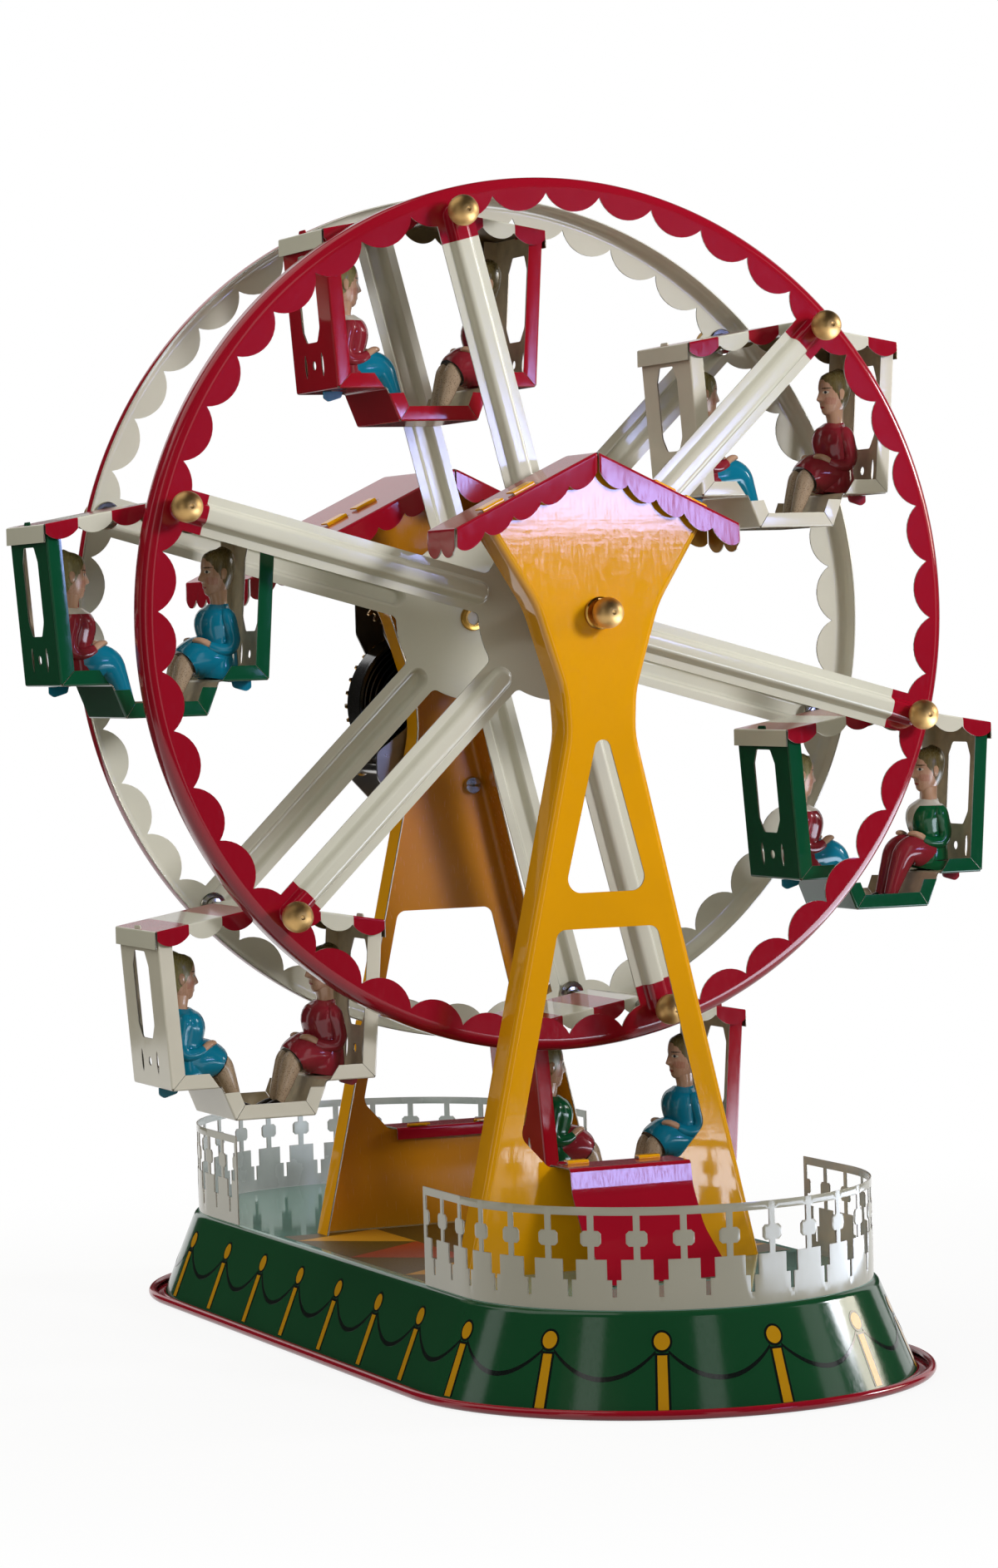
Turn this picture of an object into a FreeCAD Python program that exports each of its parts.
"""A wind-up tin ferris wheel, piece by piece, in millimetres.

The origin is at the centre of the base, on the surface that the toy stands on. +Z is up, the wheel's axle
runs along Y, and the front tower is on the -Y side. Pieces round the axle are drawn about the axle and
moved to it at the end.
"""
import FreeCAD
import Part
import math
import os

# Sheet, wire and clearances
tin = 0.5                  # tinplate of the base, towers, tower roofs and wheel
thin_tin = 0.4             # tinplate of the gondolas and fences
running = 0.06             # radial clearance of a shaft that turns in its hole
seat_gap = 0.1             # gap all round a tab in its slot

# Short chords that stand for arcs
chord_turn = 90.0          # degrees, the most that one chord of a rounded corner turns
bar_sides = 8              # of a small round bar or hole
drum_sides = 20            # of a large one
rim_chords = 8             # of the wheel's rim between two spokes
lobe_chords = 3            # of each lobe of a scalloped edge
end_chords = 16            # of each round end of the base

# Base
round_end_spacing = 207.0  # between the centres of the two round ends
floor_radius = 60.0        # where the floor would meet the skirt without its bend
floor_height = 26.5
floor_bend = 2.5
skirt_foot_radius = 70.5
rim_radius = 75.5
rim_lip = 2.8              # height of the turned-up edge
lip_width = 1.0

# Fences
fence_inset = 1.3          # from the floor's edge to the fence
fence_straight = 26.8      # straight stretch at each end of the half circle
fence_pickets = 20
fence_band = 3.5           # heights from the bottom upwards
fence_slot = 4.5
fence_block = 5.4
fence_stem = 3.5
fence_knob = 4.1
fence_neck = 4.1
fence_rail = 2.2
slot_width = 1.3
block_width = 8.5
stem_width = 1.75
knob_width = 5.7

# Wheel
axle_offset = -14.25       # the axle's centre plane, from the base's centre
wheel_radius = 125.0
wheel_half_depth = 32.0    # from the centre plane to the flat of each side
rim_flange = 7.0           # how far the rim turns inwards
rim_bend = 3.5
rim_margin = 4.7           # from the rim to the notches between lobes
lobe_depth = 5.0
lobes_between = 6          # whole lobes between two spokes
lobe_pitch = 7.95          # degrees
spoke_count = 6
spoke_lean = 14.1          # degrees, of the top spoke from upright
spoke_width = 11.5
rib_width = 7.0
rib_top_width = 4.4
rib_height = 3.0
rib_start = 22.0
hub_radius = 24.5
rod_inset = 7.1            # from the rim to the rods
rod_radius = 1.5
nut_radius = 4.4
nut_seat_radius = 1.7
nut_rows = 3               # of flats from a ball nut's seat to its end

# Axle and its bearings
axle_radius = 2.0
axle_shoulder = 3.0
arbor_radius = 3.0
arbor_bore = 2.0
collar_radius = 5.0
bush_radius = 4.6
bush_flange = 1.5

# Gondolas, about their rod
gondola_half_width = 34.0
gondola_seat_half_width = 30.7
gondola_half_depth = 17.0
gondola_seat_drop = 48.5
gondola_floor_drop = 58.0
well_half_width = 15.9     # foot well, at seat height
well_foot_half_width = 12.1
gondola_flange = 4.3
gondola_top = 4.0          # top of the ends, below the rod
lock_tab_width = 5.0
lock_tab_rise = 1.6
lock_tab_place = 33.95     # outer face of a lock tab
gondola_clearance = 8.1    # above the floor, under the rod circle
window_top = 9.5           # opening in each end of a gondola, down from the rod
window_bottom = 34.5
window_half_width = 7.0
window_neck_half_width = 4.5
window_neck = 4.5
canopy_half_width = 34.6
canopy_half_depth = 18.2
canopy_ridge = 2.5         # above the rod
canopy_drop = 6.0          # from ridge to eave
canopy_stripes = 7
canopy_valance = 5.0
canopy_notch = 2.6

# Towers
tower_half_depth = 60.9    # from the centre plane to each tower's face
tower_flange = 10.0
neck_half_width = 10.9
neck_drop = 34.0           # below the axle
head_half_width = 35.3
foot_half_width = 45.0
leg_strip = 8.0
peak_drop = 28.3           # top of the upper window, below the axle
crossbar_drop = 78.2
crossbar_width = 10.1
platform_height = 29.5     # above the floor
window_floor_half_width = 20.2
window_corner_rise = 8.8
screw_half_spacing = 10.0
screw_drop = 51.0

# Tower roofs
roof_ridge = 45.15         # above the axle
roof_slope = 25.45         # degrees
front_roof_half_width = 43.8
front_roof_start = 41.6    # from the centre plane
front_roof_depth = 21.6
front_roof_lobes = 5       # on each half of the gable
front_side_lobes = 2
rear_roof_half_width = 67.0
rear_roof_depth = 57.8
rear_roof_lobes = 8
rear_side_lobes = 6
roof_valance = 7.5
roof_notch = 5.0
tab_width = 7.0
foot_tab_height = 2.0      # of a tab under a tower's foot
roof_tabs = (21.5, 31.0)   # distances from the ridge
tab_fold = 5.0

# Boarding ramps
ramp_width = 37.0
ramp_inner = 57.9          # from the centre plane to the lip
ramp_outer = 97.0
ramp_crest = 71.5
ramp_lip = 3.0

# Clockwork
plate = 0.8                # thickness of the motor plates
motor_depth = 23.9         # over both plates
plate_half_width = 17.0
plate_waist = 9.5
plate_foot_half_width = 20.5
plate_top = 25.0
barrel_radius = 22.0
barrel_start = 9.6         # behind the tower
barrel_depth = 11.5
barrel_wall = 1.0
gear_module = 1.3
great_teeth = 32
pinion_teeth = 8
gear_width = 1.2
train_module = 0.9
second_teeth = 24
third_pinion_teeth = 8
third_teeth = 20
fly_pinion_teeth = 8
fly_module = 0.8
winding_radius = 2.4
pivot_radius = 0.8
pillar_radius = 1.8
fly_radius = 7.6
fly_height = 9.0
ratchet_radius = 7.0
ratchet_teeth = 12
spring_turns = 4
spring_strip = 0.6
key_half_span = 15.0

# Worked out from the sizes above
rod_circle = wheel_radius - rod_inset
notch_radius = wheel_radius - rim_margin
lobe_radius = notch_radius - lobe_depth
gondola_reach = rod_circle + gondola_floor_drop
axle_height = floor_height + gondola_clearance + gondola_reach
floor_z = floor_height - axle_height
rib_plane = wheel_half_depth + rib_height
sector = 360.0 / spoke_count
spoke_angles = [90.0 + spoke_lean - sector * index for index in range(spoke_count)]
slope_rise = math.tan(math.radians(roof_slope))
roof_lift = tin / math.cos(math.radians(roof_slope))
platform_z = floor_z + platform_height

nodes = {}


def keep(name, shape):
    """Store a finished piece under its node name."""
    nodes[name] = shape


def at_axle(shape):
    """Move a piece that was drawn about the axle to where the axle is."""
    placed = shape.copy()
    placed.translate(FreeCAD.Vector(0, axle_offset, axle_height))
    return placed


def upright(y):
    """Points (x, z) in an upright plane that faces the front."""
    return lambda u, v: FreeCAD.Vector(u, y, v)


def sideways(x):
    """Points (y, z) in an upright plane that faces the side."""
    return lambda u, v: FreeCAD.Vector(x, u, v)


def level(z):
    """Points (x, y) in a level plane."""
    return lambda u, v: FreeCAD.Vector(u, v, z)


def turned(place, degrees, u0=0.0, v0=0.0):
    """The same plane with its points turned about its origin and then shifted."""
    c = math.cos(math.radians(degrees))
    s = math.sin(math.radians(degrees))
    return lambda u, v: place(u0 + u * c - v * s, v0 + u * s + v * c)


def polar(radius, degrees):
    """The two coordinates of a point at a radius and an angle."""
    return radius * math.cos(math.radians(degrees)), radius * math.sin(math.radians(degrees))


def bow(width, rise, chords):
    """Points (along, out) on a circular arc over a width, between its two ends."""
    radius = (width ** 2 / 4 + rise ** 2) / (2 * rise)
    half = math.asin(min(1.0, width / 2 / radius))
    points = []
    for index in range(1, chords):
        angle = half * (2 * index / chords - 1)
        points.append((width / 2 + radius * math.sin(angle), radius * math.cos(angle) - radius + rise))
    return points


def rounded_points(corners):
    """Corners (u, v, radius) as points, each radius as short chords of its arc."""
    points = []
    count = len(corners)
    for index, (u, v, radius) in enumerate(corners):
        if radius == 0:
            points.append((u, v))
            continue
        before = corners[index - 1]
        after = corners[(index + 1) % count]
        back = math.atan2(before[1] - v, before[0] - u)
        ahead = math.atan2(after[1] - v, after[0] - u)
        opening = (ahead - back + math.pi) % (2 * math.pi) - math.pi
        half = abs(opening) / 2
        middle = back + opening / 2
        reach = radius / math.sin(half)
        centre = (u + reach * math.cos(middle), v + reach * math.sin(middle))
        turn = math.pi - 2 * half
        chords = max(1, math.ceil(turn / math.radians(chord_turn)))
        sense = -1 if opening > 0 else 1
        for step in range(chords + 1):
            angle = middle + math.pi - sense * (turn / 2 - turn * step / chords)
            points.append((centre[0] + radius * math.cos(angle), centre[1] + radius * math.sin(angle)))
    return points


def loop(points, place):
    """A closed wire of straight edges through points."""
    ring = [place(u, v) for u, v in points]
    return Part.makePolygon(ring + ring[:1])


def rounded_loop(corners, place):
    """A closed wire through corners (u, v, radius)."""
    return loop(rounded_points(corners), place)


def ring_points(radius, sides, u0=0.0, v0=0.0, outside=False):
    """A regular loop of points; outside puts its flats, not its corners, at the radius."""
    reach = radius / math.cos(math.pi / sides) if outside else radius
    return [
        (u0 + reach * math.cos(2 * math.pi * (index + 0.5) / sides),
         v0 + reach * math.sin(2 * math.pi * (index + 0.5) / sides))
        for index in range(sides)
    ]


def stack(rings):
    """A closed solid through rings of points whose matching sides are parallel."""
    faces = [Part.Face(Part.makePolygon(ring + ring[:1])) for ring in (rings[0], rings[-1])]
    for low, high in zip(rings, rings[1:]):
        for index in range(len(low)):
            following = (index + 1) % len(low)
            quad = [low[index], low[following], high[following], high[index]]
            faces.append(Part.Face(Part.makePolygon(quad + quad[:1])))
    shell = Part.makeShell(faces)
    shell.sewShape()
    solid = Part.makeSolid(shell)
    if solid.Volume < 0:
        solid.reverse()
    return solid


def inset(corners, distance):
    """The corners of a loop, drawn anticlockwise, after each side has moved inwards."""
    result = []
    count = len(corners)
    for index, (u, v, radius) in enumerate(corners):
        before = corners[index - 1]
        after = corners[(index + 1) % count]
        first = (u - before[0], v - before[1])
        second = (after[0] - u, after[1] - v)
        first_length = math.hypot(*first)
        second_length = math.hypot(*second)
        n1 = (-first[1] / first_length, first[0] / first_length)
        n2 = (-second[1] / second_length, second[0] / second_length)
        share = distance / (1 + n1[0] * n2[0] + n1[1] * n2[1])
        turn = first[0] * second[1] - first[1] * second[0]
        inner_radius = max(radius - distance, 0.0) if turn > 0 else radius + distance
        if radius == 0:
            inner_radius = 0.0
        result.append((u + (n1[0] + n2[0]) * share, v + (n1[1] + n2[1]) * share, inner_radius))
    return result


def prism(wire, direction, length):
    """The solid that a closed wire sweeps along a direction."""
    return Part.Face(wire).extrude(FreeCAD.Vector(*direction) * length)


def bar(radius, x, y0, y1, z, sides=None):
    """A round bar along Y from y0 to y1."""
    points = ring_points(radius, sides or bar_sides, x, z)
    return prism(loop(points, upright(y0)), (0, 1, 0), y1 - y0)


def hole(radius, x, y0, y1, z, sides=None):
    """The round hole along Y from y0 to y1 that clears a bar of its radius."""
    points = ring_points(radius, sides or bar_sides, x, z, outside=True)
    return prism(loop(points, upright(y0)), (0, 1, 0), y1 - y0)


def lathe(profile, x=0.0, z=0.0, sides=None):
    """A solid piece turned about an axis along Y, from points (radius, y) of its outside."""
    rings = []
    for radius, y in profile:
        rings.append([upright(y)(u, v) for u, v in ring_points(radius, sides or bar_sides, x, z)])
    return stack(rings)


def flipped(shape):
    """The mirror image across the wheel's centre plane."""
    return shape.mirror(FreeCAD.Vector(0, 0, 0), FreeCAD.Vector(0, 1, 0))


def mirrored_side(shape):
    """The mirror image across the plane through the ridge."""
    return shape.mirror(FreeCAD.Vector(0, 0, 0), FreeCAD.Vector(1, 0, 0))


# Base pan


def stadium_ring(radius, z):
    """Points round the base at a radius from its round ends' centres."""
    half = round_end_spacing / 2
    points = []
    for centre, start in ((half, 0.0), (-half, 180.0)):
        for index in range(end_chords + 1):
            u, v = polar(radius, start + 180.0 * index / end_chords)
            points.append(FreeCAD.Vector(u, centre + v, z))
    return points


def floor_slots():
    """Slots in the floor for the tabs under the towers."""
    slots = []
    for side in (-1, 1):
        y = axle_offset + side * (tower_half_depth - tin / 2)
        for x in tower_tab_centres():
            slots.append(Part.makeBox(
                tab_width + 2 * seat_gap,
                tin + 2 * seat_gap,
                3 * tin,
                FreeCAD.Vector(x - tab_width / 2 - seat_gap, y - tin / 2 - seat_gap, floor_height - 2 * tin),
            ))
    return slots


def tower_tab_centres():
    """Where the foot tabs stand along a tower's bottom edge."""
    outer = foot_half_width - tab_width
    return (-outer, outer)


def base_pan():
    """The pressed pan: floor, flared skirt and turned-up edge, open underneath."""
    bend_low = floor_bend * (floor_height - tin) / skirt_foot_radius
    outer = stack([
        stadium_ring(rim_radius, 0),
        stadium_ring(rim_radius, rim_lip),
        stadium_ring(rim_radius - lip_width, rim_lip),
        stadium_ring(rim_radius - lip_width, tin),
        stadium_ring(skirt_foot_radius, tin),
        stadium_ring(floor_radius + bend_low, floor_height - floor_bend),
        stadium_ring(floor_radius - floor_bend, floor_height),
    ])
    inner = stack([
        stadium_ring(skirt_foot_radius - tin, 0),
        stadium_ring(floor_radius + bend_low - tin, floor_height - floor_bend),
        stadium_ring(floor_radius - floor_bend, floor_height - tin),
    ])
    return outer.cut([inner] + floor_slots())


# Fences


def fence_point(distance, radius):
    """Where a distance along the fence lies on a line at a radius, and the way the fence faces there."""
    half = round_end_spacing / 2
    middle_radius = floor_radius - fence_inset
    arc = math.pi * middle_radius
    if distance < fence_straight:
        return radius, half - fence_straight + distance, 0.0
    if distance < fence_straight + arc:
        angle = (distance - fence_straight) / middle_radius
        return radius * math.cos(angle), half + radius * math.sin(angle), math.degrees(angle)
    rest = distance - fence_straight - arc
    return -radius, half - rest, 180.0


def fence_gap_outline(pitch):
    """The opening between two pickets, as corners (across, height)."""
    slot = slot_width / 2
    block = (pitch - block_width) / 2
    stem = (pitch - stem_width) / 2
    knob = (pitch - knob_width) / 2
    levels = [fence_band]
    for rise in (fence_slot, fence_block, fence_stem, fence_knob / 2, fence_knob / 2, fence_neck):
        levels.append(levels[-1] + rise)
    right = [
        (slot, levels[0]), (slot, levels[1]), (block, levels[1]), (block, levels[2]),
        (stem, levels[2]), (stem, levels[3]), (knob, levels[4]), (stem, levels[5]), (stem, levels[6]),
    ]
    left = [(-u, v) for u, v in reversed(right)]
    return [(u, v, 0) for u, v in right + left]


def fence():
    """The fence round the +Y end, a bent strip with its pickets cut out."""
    radius = floor_radius - fence_inset
    height = fence_band + fence_slot + fence_block + fence_stem + fence_knob + fence_neck + fence_rail
    length = 2 * fence_straight + math.pi * radius
    pitch = length / fence_pickets
    gap_places = [index * pitch for index in range(1, fence_pickets)]
    stations = [0.0] + gap_places + [length]
    outer = [fence_point(distance, radius + thin_tin / 2)[:2] for distance in stations]
    inner = [fence_point(distance, radius - thin_tin / 2)[:2] for distance in reversed(stations)]
    body = prism(loop(outer + inner, level(floor_height)), (0, 0, 1), height)
    outline = fence_gap_outline(pitch)
    cutters = []
    for distance in gap_places:
        x, y, facing = fence_point(distance, radius)
        cutter = prism(rounded_loop(outline, sideways(-3.0)), (1, 0, 0), 6.0)
        cutter.rotate(FreeCAD.Vector(0, 0, 0), FreeCAD.Vector(0, 0, 1), facing)
        cutter.translate(FreeCAD.Vector(x, y, floor_height))
        cutters.append(cutter)
    return body.cut(cutters)


# Towers


def leg_half_width(z):
    """Half the width over the legs at a height below the neck."""
    share = (z + neck_drop) / (floor_z + neck_drop)
    return neck_half_width + share * (foot_half_width - neck_half_width)


def roof_underside(x):
    """Height of the roof sheet's underside above the axle."""
    return roof_ridge - roof_lift - abs(x) * slope_rise


def tower_outline():
    """The tower's outline from its left foot round to its left side, anticlockwise."""
    right = [
        (foot_half_width, floor_z, 0),
        (neck_half_width, -neck_drop, 25.0),
        (11.6, -22.0, 25.0),
        (19.2, 2.2, 30.0),
        (head_half_width, roof_underside(head_half_width), 0),
    ]
    left = [(-u, v, radius) for u, v, radius in reversed(right)]
    return right + [(0, roof_underside(0), 0)] + left


def upper_window():
    """The pointed opening between the necks of the legs."""
    bottom = leg_half_width(-crossbar_drop) - leg_strip
    return [(0, -peak_drop, 2.0), (-bottom, -crossbar_drop, 4.0), (bottom, -crossbar_drop, 4.0)]


def lower_window():
    """The opening over the boarding platform."""
    top = -crossbar_drop - crossbar_width
    corner = platform_z + window_corner_rise
    top_half = leg_half_width(top) - leg_strip
    corner_half = leg_half_width(corner) - leg_strip
    right = [(window_floor_half_width, platform_z, 2.0), (corner_half, corner, 3.0), (top_half, top, 3.0)]
    left = [(-u, v, radius) for u, v, radius in reversed(right)]
    return right + left


def roof_tab(centre, face, fold):
    """A tab through the roof, folded over away from the wheel where fold is 1, else towards it."""
    bottom = -roof_lift - tin
    stem_top = 2 * tin
    near, far = (0, -tin) if fold > 0 else (-tin, 0)
    end = near + fold * tab_fold
    profile = [
        (near, bottom), (near, stem_top - tin), (end, stem_top - tin), (end, stem_top), (far, stem_top),
        (far, bottom),
    ]
    tab = prism(loop(profile, sideways(-tab_width / 2)), (1, 0, 0), tab_width)
    tab.rotate(FreeCAD.Vector(0, 0, 0), FreeCAD.Vector(0, 1, 0), roof_slope)
    tab.translate(FreeCAD.Vector(centre, face, roof_ridge - centre * slope_rise))
    return tab


def tower(windows, holes, fold):
    """A pressed tower about the axle, on the +Y side, its edges turned in towards the wheel."""
    face = tower_half_depth
    outline = tower_outline()
    block = prism(rounded_loop(outline, upright(face)), (0, -1, 0), tower_flange)
    hollow_outline = inset(outline, tin)
    below = floor_z - tower_flange
    hollow_outline[0] = (leg_half_width(below) - tin, below, 0)
    hollow_outline[-1] = (-hollow_outline[0][0], below, 0)
    hollow = prism(rounded_loop(hollow_outline, upright(face - tin)), (0, -1, 0), tower_flange)
    body = block.cut(hollow)
    body = body.cut([prism(rounded_loop(window, upright(face)), (0, -1, 0), tin) for window in windows])
    if holes:
        body = body.cut(holes)
    feet = [
        Part.makeBox(
            tab_width, tin, foot_tab_height,
            FreeCAD.Vector(x - tab_width / 2, face - tin, floor_z - foot_tab_height),
        )
        for x in tower_tab_centres()
    ]
    body = body.fuse(feet)
    tabs = []
    for centre in roof_tabs:
        tab = roof_tab(centre, face, fold)
        tabs.append(tab)
        tabs.append(mirrored_side(tab))
    return body.fuse(tabs).removeSplitter()


# Tower roofs


def scallops(start, end, lobes, depth, notch, tops):
    """Points of a scalloped lower edge from start to end, below a top line."""
    width = (end - start) / lobes
    points = []
    for index in range(lobes):
        left = start + index * width
        points.append((left, tops(left) - notch))
        for along, out in bow(width, depth - notch, lobe_chords):
            points.append((left + along, tops(left + along) - notch - out))
    points.append((end, tops(end) - notch))
    return points


def valance(place, start, end, lobes, depth, notch, tops, direction):
    """A scalloped strip below a straight top line."""
    points = scallops(start, end, lobes, depth, notch, tops)
    points += [(end, tops(end)), (start, tops(start))]
    return prism(loop(points, place), direction, tin)


def tower_roof(half_width, start, depth, lobes, side_lobes, tab_face):
    """A gabled roof on the +Y side, with scalloped valances and slots for the tower's tabs."""
    drop = half_width * slope_rise
    eave = roof_ridge - drop
    gable = [
        (0, roof_ridge, 0), (-half_width, eave, 0), (-half_width, eave - roof_lift, 0),
        (0, roof_ridge - roof_lift, 0), (half_width, eave - roof_lift, 0), (half_width, eave, 0),
    ]
    pieces = [prism(rounded_loop(gable, upright(start)), (0, 1, 0), depth)]
    slit = tin / 2
    for y in (start, start + depth - tin):
        half = valance(
            upright(y), slit, half_width, lobes, roof_valance, roof_notch,
            lambda x: roof_ridge - x * slope_rise - roof_lift / 2, (0, 1, 0),
        )
        pieces.append(half)
        pieces.append(mirrored_side(half))
    side = valance(
        sideways(half_width - tin), start, start + depth, side_lobes, roof_valance, roof_notch,
        lambda y: eave, (1, 0, 0),
    )
    pieces.append(side)
    pieces.append(mirrored_side(side))
    body = pieces[0].fuse(pieces[1:])
    slots = []
    for centre in roof_tabs:
        slot = Part.makeBox(
            tab_width + 2 * seat_gap, tin + 2 * seat_gap, 6 * tin,
            FreeCAD.Vector(-tab_width / 2 - seat_gap, -tin - seat_gap, -4 * tin),
        )
        slot.rotate(FreeCAD.Vector(0, 0, 0), FreeCAD.Vector(0, 1, 0), roof_slope)
        slot.translate(FreeCAD.Vector(centre, tab_face, roof_ridge - centre * slope_rise))
        slots.append(slot)
        slots.append(mirrored_side(slot))
    return body.cut(slots).removeSplitter()


# Boarding ramps


def ramp():
    """A curved chute on the +Y side, from the platform in the window down to the floor."""
    top = platform_z + tin
    outer = [
        (ramp_inner, platform_z - ramp_lip), (ramp_inner, top), (ramp_crest, top),
        (ramp_crest + 1.6, top - 6.0), (ramp_crest + 4.2, top - 11.0), (ramp_crest + 8.4, top - 17.0),
        (ramp_crest + 15.5, top - 23.5), (ramp_outer, floor_z + tin),
    ]
    inner = [
        (ramp_outer, floor_z), (ramp_crest + 15.2, top - 24.1), (ramp_crest + 7.9, top - 17.4),
        (ramp_crest + 3.7, top - 11.3), (ramp_crest + 1.1, top - 6.1), (ramp_crest - 0.4, platform_z),
        (ramp_inner + tin, platform_z), (ramp_inner + tin, platform_z - ramp_lip),
    ]
    corners = [(u, v, 0) for u, v in outer + inner]
    body = prism(rounded_loop(corners, sideways(-ramp_width / 2)), (1, 0, 0), ramp_width)
    return body


# Wheel


def window_points():
    """The opening between two spokes, about the line midway between them."""
    half = math.radians(sector / 2)
    along = (math.cos(half), math.sin(half))
    inward = (math.sin(half), -math.cos(half))
    w = spoke_width / 2
    hub_end = math.sqrt(hub_radius ** 2 - w ** 2)
    chord_u = notch_radius * math.cos(math.radians(lobe_pitch / 2)) - lobe_radius
    chord_v = notch_radius * math.sin(math.radians(lobe_pitch / 2))
    curve = (chord_u ** 2 + chord_v ** 2) / (2 * chord_u)
    last = lobes_between / 2
    centre = polar(lobe_radius + curve, (last + 0.5) * lobe_pitch)
    offset = (centre[0] - w * inward[0], centre[1] - w * inward[1])
    mean = along[0] * offset[0] + along[1] * offset[1]
    rim_end = mean - math.sqrt(mean ** 2 - offset[0] ** 2 - offset[1] ** 2 + curve ** 2)

    def spoke_point(distance):
        return along[0] * distance + w * inward[0], along[1] * distance + w * inward[1]

    hub_angle = math.degrees(math.atan2(*reversed(spoke_point(hub_end))))
    upper = [polar(hub_radius, hub_angle * share) for share in (0.33, 1.0)]
    upper.append(spoke_point(rim_end))
    middle = polar(lobe_radius + curve * 0.06, (last + 0.25) * lobe_pitch)
    upper.append(middle)
    for index in range(lobes_between // 2):
        start = (last - index) * lobe_pitch
        upper.append(polar(notch_radius, start))
        for share in range(1, lobe_chords):
            angle = lobe_pitch * share / lobe_chords
            across = notch_radius * math.sin(math.radians(lobe_pitch / 2 - angle))
            depth = math.sqrt(curve ** 2 - across ** 2) - curve
            upper.append(polar(lobe_radius - depth, start - angle))
    lower = [(u, -v) for u, v in reversed(upper)]
    return upper + [(notch_radius, 0.0)] + lower


def stadium(start, end, half_width, place):
    """Points of a long loop with round ends."""
    points = []
    for centre, first in ((end - half_width, -90.0), (start + half_width, 90.0)):
        for index in range(lobe_chords + 1):
            u, v = polar(half_width, first + 180.0 * index / lobe_chords)
            points.append(place(centre + u, v))
    return points


def rib(start, end, base_half, top_half, low, high, degrees):
    """A raised rib with sloping sides and round noses along a spoke."""
    nose = base_half - top_half
    return stack([
        stadium(start, end, base_half, turned(upright(low), degrees)),
        stadium(start + nose, end - nose, top_half, turned(upright(high), degrees)),
    ])


def wheel_ring(radius, y):
    """Points round the wheel at a radius, a corner on every spoke."""
    count = rim_chords * spoke_count
    return [upright(y)(*polar(radius, spoke_lean + 90.0 + 360.0 * index / count)) for index in range(count)]


def wheel_side():
    """One pressed side of the wheel, on the +Y side."""
    face = wheel_half_depth
    outer = stack([
        wheel_ring(wheel_radius - rim_bend, face),
        wheel_ring(wheel_radius, face - rim_bend),
        wheel_ring(wheel_radius, face - rim_flange),
    ])
    inner = stack([
        wheel_ring(wheel_radius - rim_bend, face - tin),
        wheel_ring(wheel_radius - tin, face - rim_bend),
        wheel_ring(wheel_radius - tin, face - rim_flange),
    ])
    rib_end = rod_circle + rib_top_width / 2 + 0.3
    ribs = []
    hollows = []
    openings = []
    for degrees in spoke_angles:
        ribs.append(rib(
            rib_start, rib_end, rib_width / 2, rib_top_width / 2, face - tin / 2, rib_plane, degrees,
        ))
        hollows.append(rib(
            rib_start + tin, rib_end - tin, rib_width / 2 - tin, rib_top_width / 2 - tin,
            face - 2 * tin, rib_plane - tin, degrees,
        ))
        wire = loop(window_points(), turned(upright(face + tin), degrees - sector / 2))
        openings.append(prism(wire, (0, -1, 0), 3 * tin))
        x, z = polar(rod_circle, degrees)
        openings.append(hole(rod_radius + running, x, face - tin, rib_plane + tin, z))
    body = outer.cut(inner).fuse(ribs)
    return body.cut(hollows + openings)


def ball_nut(x, side, z, seat):
    """A ball nut on an axis along Y, from its flat seat outwards to the side."""
    low = math.asin(math.sqrt(1 - (nut_seat_radius / nut_radius) ** 2))
    centre = seat + nut_radius * math.sin(low)
    profile = []
    for share in range(nut_rows + 1):
        angle = -low + (low + math.radians(72.0)) * share / nut_rows
        profile.append((nut_radius * math.cos(angle), side * (centre + nut_radius * math.sin(angle))))
    return lathe(profile, x, z)


def rim_nuts():
    """The ball nuts on both ends of every rod."""
    nuts = []
    for degrees in spoke_angles:
        x, z = polar(rod_circle, degrees)
        for side in (-1, 1):
            nuts.append(ball_nut(x, side, z, rib_plane))
    return Part.makeCompound(nuts)


# Axle


def axle_stops():
    """Distances from the wheel's centre plane to the front bush and its nut."""
    bush_inner = tower_half_depth - tin - bush_flange
    bush_outer = tower_half_depth + bush_flange
    return bush_inner, bush_outer


def front_axle():
    """The stub axle riveted into the front side, with the shoulder that bears on the bush."""
    inner = wheel_half_depth - tin
    bush_inner, bush_outer = axle_stops()
    end = bush_outer + 0.3
    return lathe([
        (collar_radius, -(inner - 1.0)), (collar_radius, -inner), (axle_shoulder, -inner),
        (axle_shoulder, -(bush_inner - 0.3)), (axle_radius, -(bush_inner - 0.3)), (axle_radius, -end),
    ])


def front_bush():
    """The flanged bearing in the front tower."""
    bush_inner, bush_outer = axle_stops()
    body = lathe([
        (bush_radius, -bush_inner), (bush_radius, -(tower_half_depth - tin)),
        (axle_shoulder, -(tower_half_depth - tin)), (axle_shoulder, -tower_half_depth),
        (bush_radius, -tower_half_depth), (bush_radius, -bush_outer),
    ])
    return body.cut(hole(axle_radius + running, 0, -bush_outer, -bush_inner, 0))


def output_arbor():
    """The hollow arbor riveted into the rear side, which the clockwork turns."""
    inner = wheel_half_depth - tin - 1.0
    end = tower_half_depth + motor_depth + 0.6
    body = lathe([
        (arbor_radius, inner), (arbor_radius, wheel_half_depth), (collar_radius, wheel_half_depth),
        (collar_radius, wheel_half_depth + 2.0), (arbor_radius, wheel_half_depth + 2.0), (arbor_radius, end),
    ])
    return body.cut(bar(arbor_bore, 0, inner, end, 0))


# Clockwork


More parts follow.
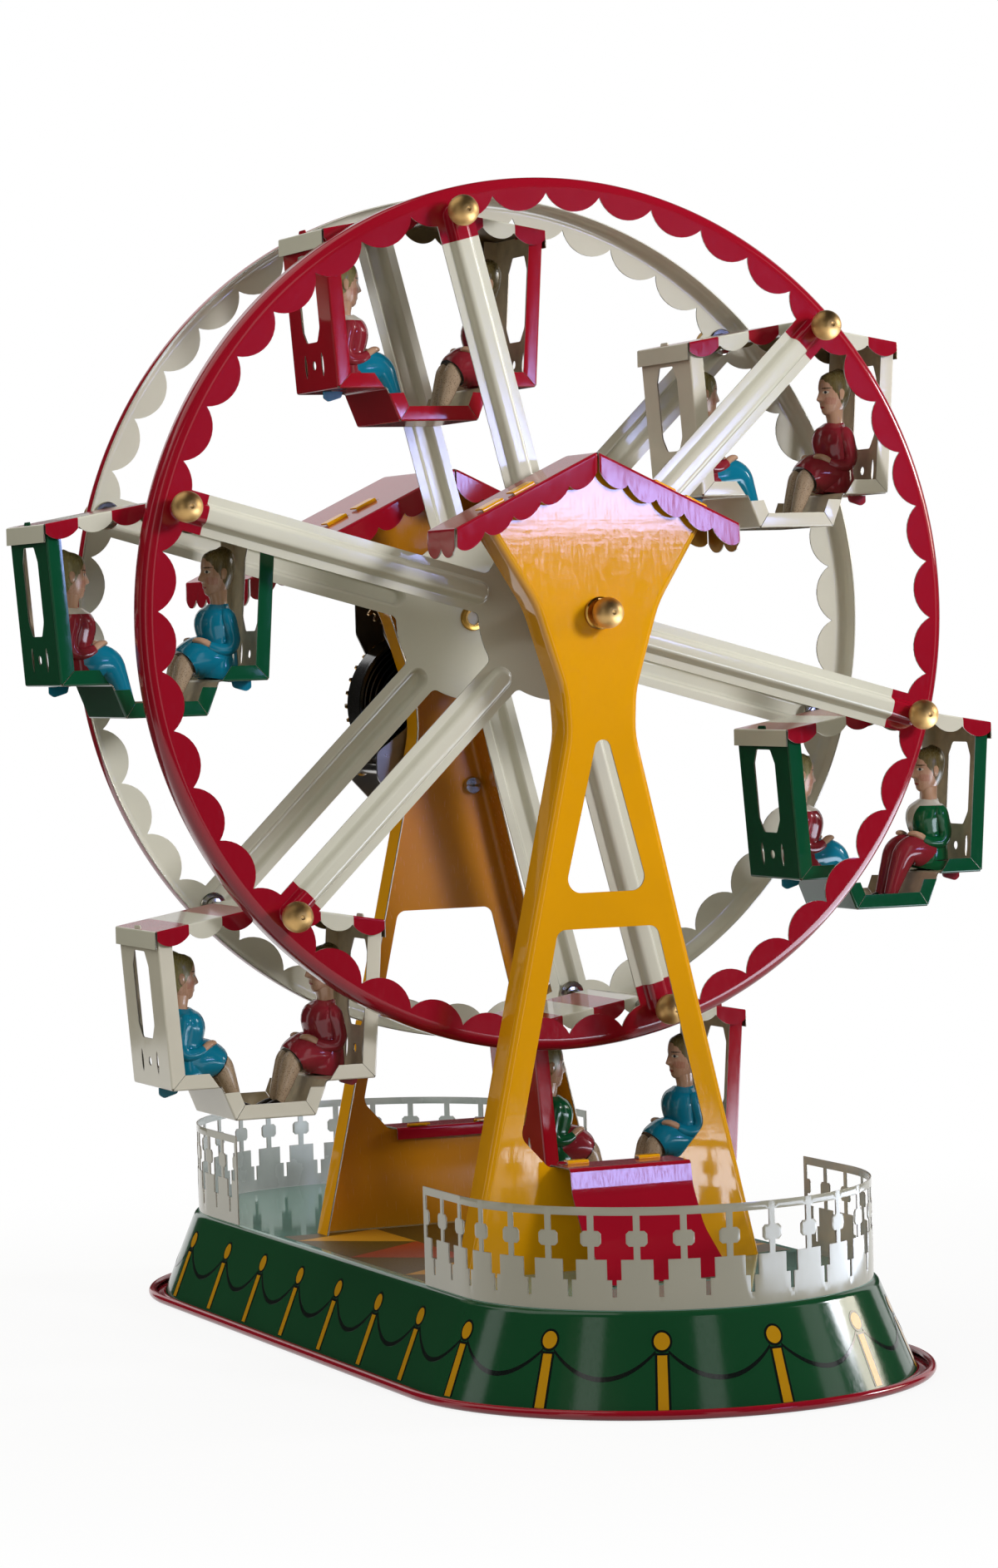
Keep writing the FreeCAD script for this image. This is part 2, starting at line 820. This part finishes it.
def gear(teeth, module, width, y0, x, z, seat, lead=0.0):
    """A spur gear with straight-flanked teeth, less its seat; lead turns its first tooth from +X."""
    pitch_radius = module * teeth / 2
    tip = pitch_radius + 0.85 * module
    root = pitch_radius - 1.15 * module
    step = 360.0 / teeth
    half_tip = 0.10 * step
    half_root = 0.30 * step
    corners = []
    for index in range(teeth):
        middle = lead + index * step
        for radius, angle in (
            (root, middle - half_root), (tip, middle - half_tip),
            (tip, middle + half_tip), (root, middle + half_root),
        ):
            u, v = polar(radius, angle)
            corners.append((x + u, z + v, 0))
    blank = prism(rounded_loop(corners, upright(y0)), (0, 1, 0), width)
    return blank.cut(seat) if seat else blank


def mesh_lead(teeth, partner_teeth, partner_lead, angle):
    """The lead that puts a gap of this gear at a tooth of its partner, which lies at an angle from it."""
    partner_step = 360.0 / partner_teeth
    step = 360.0 / teeth
    facing = angle + 180.0
    partner_phase = ((facing - partner_lead) / partner_step) % 1.0
    return angle - step * (0.5 - partner_phase)


motor_front = tower_half_depth
motor_rear = tower_half_depth + motor_depth
barrel_front = tower_half_depth + barrel_start
barrel_back = barrel_front + barrel_depth
drive_distance = gear_module * (great_teeth + pinion_teeth) / 2
second_distance = train_module * (second_teeth + third_pinion_teeth) / 2
third_distance = fly_module * (third_teeth + fly_pinion_teeth) / 2
great_lead = 90.0
second_start = motor_front + plate + 3.0
second_lead = 0.0
third_direction = 150.0    # from the wheel's axle to the third arbor
fly_direction = 40.0       # from the third arbor to the fly
third_place = polar(second_distance, third_direction)
fly_step = polar(third_distance, fly_direction)
fly_place = (third_place[0] + fly_step[0], third_place[1] + fly_step[1])
pillar_places = (
    (13.5, 9.0), (-13.0, 20.5), (-17.0, -drive_distance - 19.0), (17.0, -drive_distance - 19.0),
)


def motor_plate(y0, holes):
    """One plate of the clockwork's frame, narrow behind the tower's neck."""
    foot = -drive_distance - 22.0
    bottom = -drive_distance - 30.0
    right = [
        (13.0, bottom, 2.0), (plate_foot_half_width, foot, 4.0), (plate_foot_half_width, foot + 8.0, 3.0),
        (plate_waist, foot + 16.0, 4.0), (plate_waist, -20.0, 4.0), (plate_half_width, -4.0, 4.0),
        (plate_half_width, plate_top, 3.0),
    ]
    left = [(-u, v, radius) for u, v, radius in reversed(right)]
    body = prism(rounded_loop(right + left, upright(y0)), (0, 1, 0), plate)
    return body.cut([hole(radius, x, y0, y0 + plate, z) for radius, x, z in holes])


def bearing_holes():
    """Holes that both motor plates have."""
    return [
        (arbor_radius + running, 0, 0),
        (winding_radius + running, 0, -drive_distance),
        (pivot_radius + running, *third_place),
        (pivot_radius + running, *fly_place),
    ]


def motor_pillars():
    """The posts between the plates."""
    return Part.makeCompound([
        bar(pillar_radius, x, motor_front + plate, motor_rear - plate, z) for x, z in pillar_places
    ])


def motor_screws():
    """The two screws that hold the clockwork to the rear tower, heads inside the tower."""
    screws = []
    for side in (-1, 1):
        x = side * screw_half_spacing
        head = lathe([
            (1.6, motor_front - tin - 2.0), (2.7, motor_front - tin - 1.2), (2.7, motor_front - tin),
            (1.3, motor_front - tin), (1.3, motor_front + plate),
        ], x, -screw_drop, 6)
        screws.append(head)
    return Part.makeCompound(screws)


def spring_barrel():
    """The drum that holds the mainspring, open at the front."""
    z = -drive_distance
    drum = bar(barrel_radius, 0, barrel_front, barrel_back, z, drum_sides)
    room = bar(barrel_radius - barrel_wall, 0, barrel_front, barrel_back - barrel_wall, z, drum_sides)
    return drum.cut([room, hole(winding_radius + running, 0, barrel_front, barrel_back, z)])


def mainspring():
    """The flat spring, one unbroken strip wound outwards at a steady rate."""
    inner = winding_radius + 1.0
    outer = (barrel_radius - barrel_wall) * math.cos(math.pi / drum_sides) - spring_strip - 0.4
    steps = spring_turns * bar_sides
    near = []
    far = []
    for index in range(steps + 1):
        radius = inner + (outer - inner) * index / steps
        angle = 360.0 * index / bar_sides
        near.append(polar(radius, angle))
        far.append(polar(radius + spring_strip, angle))
    print("mainspring: least gap between turns", round((outer - inner) / spring_turns - spring_strip, 2))
    strip = loop(near + far[::-1], turned(upright(barrel_front + 1.5), 0.0, 0.0, -drive_distance))
    return prism(strip, (0, 1, 0), barrel_depth - barrel_wall - 2.5)


def winding_arbor():
    """The arbor that the key turns, from plate to plate and out of the back."""
    return bar(winding_radius, 0, motor_front + 0.2, motor_rear + 18.0, -drive_distance)


def ratchet_wheel():
    """The saw-toothed wheel on the winding arbor, behind the rear plate."""
    corners = []
    step = 360.0 / ratchet_teeth
    for index in range(ratchet_teeth):
        angle = index * step
        u, v = polar(ratchet_radius, angle)
        corners.append((u, v - drive_distance, 0))
        u, v = polar(ratchet_radius - 1.5, angle + 0.12 * step)
        corners.append((u, v - drive_distance, 0))
    y0 = motor_rear + 0.4
    blank = prism(rounded_loop(corners, upright(y0)), (0, 1, 0), gear_width)
    return blank.cut(bar(winding_radius, 0, y0, y0 + gear_width, -drive_distance))


click_pivot = (8.5, -drive_distance + 8.5)


def winding_click():
    """The pawl that rides on the ratchet, with the rivet it turns on."""
    x, z = click_pivot
    y0 = motor_rear + 0.4
    tip_x, tip_z = polar(ratchet_radius + 0.35, 68.0)
    tip_z -= drive_distance
    corners = [
        (x + 2.2, z + 2.2, 1.5), (x - 2.5, z + 2.6, 1.5), (tip_x - 0.4, tip_z + 1.6, 0), (tip_x, tip_z, 0),
        (x + 0.6, z - 2.2, 1.0),
    ]
    arm = prism(rounded_loop(corners, upright(y0)), (0, 1, 0), gear_width)
    rivet = bar(1.0, x, motor_rear - plate, y0 + gear_width + 0.6, z)
    return arm.fuse(rivet).removeSplitter()


def winding_key():
    """The two-winged key on the end of the winding arbor."""
    y0 = motor_rear + 5.0
    z = -drive_distance
    sleeve = bar(winding_radius + 1.2, 0, y0, y0 + 9.0, z).cut(bar(winding_radius, 0, y0, y0 + 9.0, z))
    wing_z = (y0 + 7.0, y0 + 23.0)
    right = [
        (winding_radius + 1.0, wing_z[0], 1.0), (key_half_span, wing_z[0] + 1.0, 6.0),
        (key_half_span, wing_z[1], 6.0), (winding_radius + 2.0, wing_z[1] - 2.5, 2.0),
    ]
    left = [(-u, v, radius) for u, v, radius in reversed(right)]
    plane = level(z - 0.6)
    wing = prism(rounded_loop(right + left, plane), (0, 0, 1), 1.2)
    eyes = [
        prism(
            loop(ring_points(3.2, bar_sides, side * (key_half_span - 6.5), y0 + 15.5), plane), (0, 0, 1), 1.2,
        )
        for side in (-1, 1)
    ]
    wing = wing.cut(eyes + [bar(winding_radius, 0, y0, motor_rear + 18.0, z)])
    return sleeve.fuse(wing).removeSplitter()


def fly_fan():
    """The two-bladed fan that air slows, on the last arbor."""
    x, z = fly_place
    y0 = motor_front + 9.0
    hub = bar(pivot_radius + 1.0, x, y0, y0 + fly_height, z)
    blade = Part.makeBox(2 * fly_radius, fly_height, tin, FreeCAD.Vector(x - fly_radius, y0, z - tin / 2))
    return hub.fuse(blade).removeSplitter().cut(bar(pivot_radius, x, y0, y0 + fly_height, z))


# Gondolas


def gondola_section(top):
    """The strip's section, anticlockwise, with its end walls carried up to a height."""
    lean = (gondola_half_width - gondola_seat_half_width) / (gondola_seat_drop - gondola_top)
    top_half = gondola_half_width + (top + gondola_top) * lean
    right = [
        (well_foot_half_width, -gondola_floor_drop, 0), (well_half_width, -gondola_seat_drop, 0),
        (gondola_seat_half_width, -gondola_seat_drop, 0), (top_half, top, 0),
    ]
    left = [(-u, v, radius) for u, v, radius in reversed(right)]
    return right + left


def gondola_body():
    """The bent strip of a gondola: ends, seats and foot well, with its edges turned in."""
    depth = 2 * gondola_half_depth
    block = prism(rounded_loop(gondola_section(-gondola_top), upright(-gondola_half_depth)), (0, 1, 0), depth)
    tall = gondola_section(10.0)
    room = rounded_loop(inset(tall, thin_tin), upright(-gondola_half_depth + thin_tin))
    hollow = prism(room, (0, 1, 0), depth - 2 * thin_tin)
    mouth = inset(tall, gondola_flange)
    opening = prism(rounded_loop(mouth, upright(-gondola_half_depth)), (0, 1, 0), depth)
    outline = [
        (window_half_width, -window_bottom + window_neck, 0),
        (window_half_width, -window_top - window_neck, 0),
        (window_neck_half_width, -window_top, 0), (-window_neck_half_width, -window_top, 0),
        (-window_half_width, -window_top - window_neck, 0),
        (-window_half_width, -window_bottom + window_neck, 0),
        (-window_neck_half_width + 0.5, -window_bottom, 0), (window_neck_half_width - 0.5, -window_bottom, 0),
    ]
    cutters = [hollow, opening]
    for x in (-gondola_half_width - 1.0, gondola_seat_half_width - 2.0):
        cutters.append(prism(rounded_loop(outline, sideways(x)), (1, 0, 0), 6.3))
    body = block.cut(cutters)
    tabs = [
        Part.makeBox(
            thin_tin, lock_tab_width, lock_tab_rise + thin_tin,
            FreeCAD.Vector(x, -lock_tab_width / 2, -gondola_top - thin_tin),
        )
        for x in (-lock_tab_place, lock_tab_place - thin_tin)
    ]
    return body.fuse(tabs)


def canopy_top(x):
    """Height of a gondola roof's top surface above the rod."""
    return canopy_ridge - abs(x) * canopy_drop / canopy_half_width


def gondola_canopy():
    """The striped roof of a gondola, which hangs on the rod by its two long valances."""
    gable = [
        (0, canopy_ridge, 0), (-canopy_half_width, canopy_top(canopy_half_width), 0),
        (-canopy_half_width, canopy_top(canopy_half_width) - thin_tin, 0), (0, canopy_ridge - thin_tin, 0),
        (canopy_half_width, canopy_top(canopy_half_width) - thin_tin, 0),
        (canopy_half_width, canopy_top(canopy_half_width), 0),
    ]
    pieces = [prism(rounded_loop(gable, upright(-canopy_half_depth)), (0, 1, 0), 2 * canopy_half_depth)]
    for y in (-canopy_half_depth, canopy_half_depth - thin_tin):
        points = scallops(
            -canopy_half_width, canopy_half_width, canopy_stripes, canopy_valance, canopy_notch, canopy_top,
        )
        points += [(canopy_half_width, canopy_top(canopy_half_width)), (0, canopy_ridge)]
        points += [(-canopy_half_width, canopy_top(canopy_half_width))]
        pieces.append(prism(loop(points, upright(y)), (0, 1, 0), thin_tin))
    for side in (-1, 1):
        x = side * canopy_half_width - (thin_tin if side > 0 else 0)
        pieces.append(Part.makeBox(
            thin_tin, 2 * canopy_half_depth, canopy_valance,
            FreeCAD.Vector(x, -canopy_half_depth, canopy_top(canopy_half_width) - canopy_valance),
        ))
    body = pieces[0].fuse(pieces[1:]).removeSplitter()
    slots = [
        Part.makeBox(
            thin_tin + 2 * seat_gap, lock_tab_width + 2 * seat_gap, 3.0,
            FreeCAD.Vector(x - seat_gap, -lock_tab_width / 2 - seat_gap, -gondola_top),
        )
        for x in (-lock_tab_place, lock_tab_place - thin_tin)
    ]
    return body.cut(slots + [hole(rod_radius + running, 0, -canopy_half_depth, canopy_half_depth, 0)])


def doll():
    """A seated pressed-tin doll at the left end of a gondola, facing +X."""
    seat = thin_tin - gondola_seat_drop
    torso = [
        (-26.0, seat), (-14.2, seat), (-15.0, seat + 10.0), (-16.5, seat + 17.0), (-20.0, seat + 24.5),
        (-23.6, seat + 24.5), (-27.0, seat + 18.0),
    ]
    head = [
        (-23.0, -25.0), (-19.2, -24.0), (-17.7, -17.0), (-19.5, -11.0), (-23.8, -11.0), (-25.2, -16.5),
    ]
    legs = [
        (-16.0, seat + 0.05), (-12.6, seat + 0.05), (-9.0, seat - 2.0), (-6.4, seat - 9.2),
        (-0.3, seat - 9.2), (-0.3, seat - 7.0), (-4.0, seat - 5.2), (-7.4, seat + 6.4), (-16.0, seat + 9.0),
    ]
    rings = []
    for y, scale in ((-3.2, 0.6), (0.0, 1.0), (3.2, 0.6)):
        rings.append([
            FreeCAD.Vector(-21.5 + (u + 21.5) * scale, y, -17.0 + (v + 17.0) * scale)
            for u, v in head
        ])
    pieces = [
        prism(loop(torso, upright(-8.0)), (0, 1, 0), 16.0),
        prism(loop(legs, upright(-6.5)), (0, 1, 0), 13.0),
        stack(rings),
    ]
    return pieces[0].fuse(pieces[1:])


def moved(shape, x, z):
    """A copy shifted in the plane of the wheel."""
    copy = shape.copy()
    copy.translate(FreeCAD.Vector(x, 0, z))
    return copy


# All pieces

keep("base_pan", base_pan())
rear_fence = fence()
keep("fence_rear", rear_fence)
keep("fence_front", flipped(rear_fence))

front_bush_hole = bar(axle_shoulder, 0, tower_half_depth - tin, tower_half_depth, 0)
keep("tower_front", at_axle(flipped(tower([upper_window(), lower_window()], [front_bush_hole], -1))))
rear_holes = [hole(arbor_radius + 0.6, 0, tower_half_depth - tin, tower_half_depth, 0)]
for side in (-1, 1):
    rear_holes.append(bar(
        1.3, side * screw_half_spacing, tower_half_depth - tin, tower_half_depth, -screw_drop, 6,
    ))
keep("tower_rear", at_axle(tower([lower_window()], rear_holes, 1)))
front_roof = tower_roof(
    front_roof_half_width, front_roof_start, front_roof_depth, front_roof_lobes, front_side_lobes,
    tower_half_depth,
)
rear_roof = tower_roof(
    rear_roof_half_width, front_roof_start, rear_roof_depth, rear_roof_lobes, rear_side_lobes,
    tower_half_depth,
)
keep("roof_front", at_axle(flipped(front_roof)))
keep("roof_rear", at_axle(rear_roof))
keep("ramp_rear", at_axle(ramp()))
keep("ramp_front", at_axle(flipped(ramp())))

side_plate = wheel_side()
keep("wheel_side_rear", at_axle(side_plate.cut(bar(arbor_radius, 0, 0, wheel_half_depth, 0))))
keep("wheel_side_front", at_axle(flipped(side_plate.cut(bar(axle_shoulder, 0, 0, wheel_half_depth, 0)))))
keep("rim_ball_nuts", at_axle(rim_nuts()))
keep("front_axle", at_axle(front_axle()))
keep("front_bush", at_axle(front_bush()))
hub_nut_seat = tower_half_depth + bush_flange + 0.3
keep("hub_ball_nut", at_axle(ball_nut(0, -1, 0, hub_nut_seat)))

keep("output_arbor", at_axle(output_arbor()))
arbor_seat = bar(arbor_radius, 0, motor_front, motor_rear, 0)
winding_hole = hole(winding_radius + running, 0, motor_front, motor_rear, -drive_distance)
keep("great_wheel", at_axle(gear(
    great_teeth, gear_module, gear_width, barrel_back, 0, -drive_distance, winding_hole, great_lead,
)))
keep("output_pinion", at_axle(gear(
    pinion_teeth, gear_module, gear_width, barrel_back, 0, 0, arbor_seat,
    mesh_lead(pinion_teeth, great_teeth, great_lead, -90.0),
)))
keep("output_wheel", at_axle(gear(
    second_teeth, train_module, gear_width, second_start, 0, 0, arbor_seat, second_lead,
)))
third_lead = mesh_lead(third_pinion_teeth, second_teeth, second_lead, third_direction + 180.0)
third_pinion = gear(
    third_pinion_teeth, train_module, gear_width + 1.0, second_start - 0.5, *third_place, None, third_lead,
)
third_shaft = bar(pivot_radius, third_place[0], motor_front + 0.1, motor_rear - 0.1, third_place[1])
keep("third_pinion", at_axle(third_pinion.fuse(third_shaft)))
third_start = second_start + 2.4
third_seat = bar(pivot_radius, third_place[0], motor_front, motor_rear, third_place[1])
keep("third_wheel", at_axle(gear(
    third_teeth, fly_module, gear_width, third_start, *third_place, third_seat, third_lead,
)))
fly_lead = mesh_lead(fly_pinion_teeth, third_teeth, third_lead, fly_direction + 180.0)
fly_pinion = gear(
    fly_pinion_teeth, fly_module, gear_width + 1.0, third_start - 0.5, *fly_place, None, fly_lead,
)
fly_shaft = bar(pivot_radius, fly_place[0], motor_front + 0.1, motor_rear - 0.1, fly_place[1])
keep("fly_pinion", at_axle(fly_pinion.fuse(fly_shaft)))
keep("fly_fan", at_axle(fly_fan()))
keep("spring_barrel", at_axle(spring_barrel()))
keep("mainspring", at_axle(mainspring()))
keep("winding_arbor", at_axle(winding_arbor()))
keep("ratchet_wheel", at_axle(ratchet_wheel()))
keep("winding_click", at_axle(winding_click()))
keep("winding_key", at_axle(winding_key()))
screw_holes = [(1.3, side * screw_half_spacing, -screw_drop) for side in (-1, 1)]
keep("motor_plate_front", at_axle(motor_plate(motor_front, bearing_holes() + screw_holes)))
click_hole = [(1.0, *click_pivot)]
keep("motor_plate_rear", at_axle(motor_plate(motor_rear - plate, bearing_holes() + click_hole)))
keep("motor_pillars", at_axle(motor_pillars()))
keep("motor_screws", at_axle(motor_screws()))

rod = bar(rod_radius, 0, -rib_plane + 0.02, rib_plane - 0.02, 0)
body_shape = gondola_body()
canopy_shape = gondola_canopy()
left_doll = doll()
dolls = Part.makeCompound([left_doll, mirrored_side(left_doll)])
for number, degrees in enumerate(spoke_angles, start=1):
    x, z = polar(rod_circle, degrees)
    keep(f"rod_{number}", at_axle(moved(rod, x, z)))
    keep(f"gondola_body_{number}", at_axle(moved(body_shape, x, z)))
    keep(f"gondola_roof_{number}", at_axle(moved(canopy_shape, x, z)))
    keep(f"passengers_{number}", at_axle(moved(dolls, x, z)))

os.makedirs("parts", exist_ok=True)
for name, shape in nodes.items():
    shape.exportStep(os.path.join("parts", name + ".step"))
print(len(nodes), "nodes; axle height", round(axle_height, 2))
